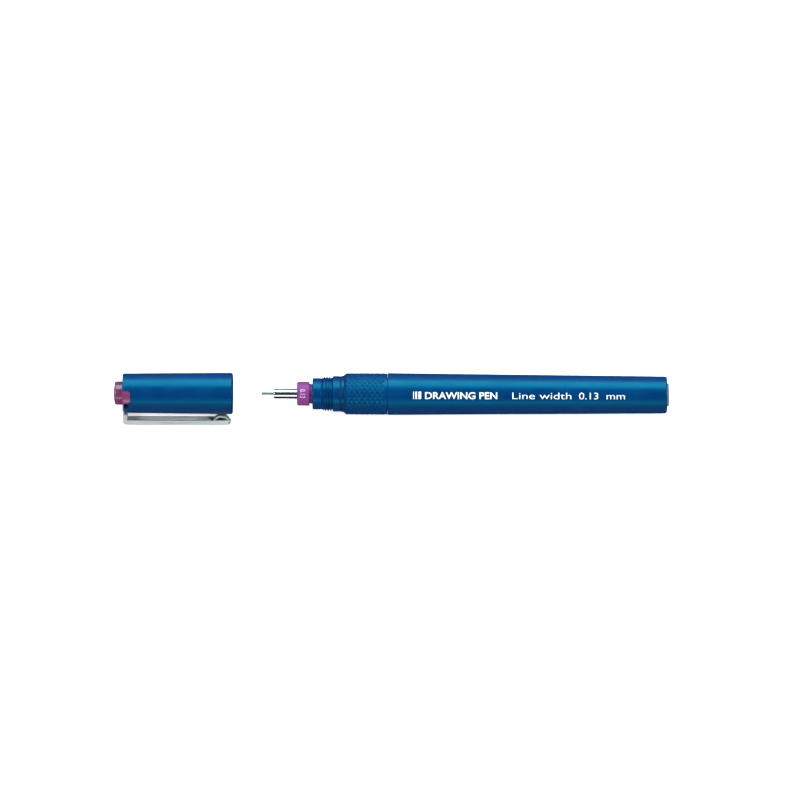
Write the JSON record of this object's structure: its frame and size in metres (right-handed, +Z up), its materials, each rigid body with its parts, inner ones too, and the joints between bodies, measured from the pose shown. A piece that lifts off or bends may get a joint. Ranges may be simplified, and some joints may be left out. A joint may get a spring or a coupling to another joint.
{
  "type": "technical pen",
  "caption": "Technical drawing pen with a tubular nib, knurled grip and long tapered barrel, lying beside its removed cap with a steel pocket clip.",
  "frame": {"origin": "front shoulder of the nib shaft, on the pen's axis", "axes": "+X along the pen from the nib towards the tail, +Z up from the table the pen lies on, -Y towards the side where the clip lies"},
  "size_m": [0.1737, 0.0162, 0.0131],
  "materials": {
    "needle_steel": "fine satin",
    "wire_steel": "satin",
    "shaft_steel": "polished",
    "violet_plastic": "gloss",
    "magenta_plastic": "gloss",
    "black_rubber": "matte",
    "weight_brass": "satin",
    "natural_plastic": "satin",
    "blue_plastic": "gloss",
    "blue_barrel": "gloss",
    "blue_grip": "satin",
    "dark_plastic": "satin",
    "grey_plastic": "satin",
    "cartridge_plastic": "translucent",
    "clip_steel": "polished",
    "spring_steel": "satin"
  },
  "bodies": {
    "holder": {"nib_holder": "blue_plastic", "grip_sleeve": "blue_grip", "cap_seal_ring": "black_rubber", "barrel_seal_ring": "black_rubber"},
    "nib": {"nib_body": "violet_plastic", "nib_shaft": "shaft_steel", "needle_tube": "needle_steel", "nib_seal_ring": "black_rubber", "weight_retainer": "natural_plastic"},
    "weight": {"drop_weight": "weight_brass", "cleaning_wire": "wire_steel"},
    "barrel": {"barrel": "blue_barrel", "barrel_insert": "dark_plastic", "tail_plug": "grey_plastic"},
    "cartridge": {"cartridge_tube": "cartridge_plastic", "cartridge_end": "cartridge_plastic", "cartridge_ring": "natural_plastic"},
    "cap": {"cap_shell": "blue_plastic", "cap_liner": "dark_plastic", "cap_end_plug": "magenta_plastic", "seal_spring": "spring_steel"},
    "seal": {"seal_cup": "natural_plastic", "seal_pad": "black_rubber", "seal_lip": "black_rubber"},
    "clip": {"clip": "clip_steel"}
  },
  "joints": [
    {"name": "cap_slide", "type": "slide", "parent": "holder", "child": "cap", "axis": [1, 0, 0], "range_m": [-0.03, 0.03465]},
    {"name": "clip_flex", "type": "hinge", "parent": "cap", "child": "clip", "pos_m": [-0.04685, -0.00537, -0.00268], "axis": [0, 0.4462, -0.8949], "range_deg": [0, 4], "stiffness_Nm_per_rad": 0.4, "springref_deg": -1.15},
    {"name": "seal_press", "type": "slide", "parent": "cap", "child": "seal", "axis": [-1, 0, 0], "range_m": [0, 0.0012], "stiffness_N_per_m": 150, "springref_m": -0.001, "deforming": ["seal_spring"]},
    {"name": "nib_pull", "type": "slide", "parent": "holder", "child": "nib", "axis": [1, 0, 0], "range_m": [-0.02, 0]},
    {"name": "weight_knock", "type": "slide", "parent": "nib", "child": "weight", "axis": [1, 0, 0], "range_m": [0, 0.0015]},
    {"name": "barrel_pull", "type": "slide", "parent": "holder", "child": "barrel", "axis": [1, 0, 0], "range_m": [0, 0.085]},
    {"name": "cartridge_pull", "type": "slide", "parent": "holder", "child": "cartridge", "axis": [1, 0, 0], "range_m": [0, 0.02]}
  ]
}
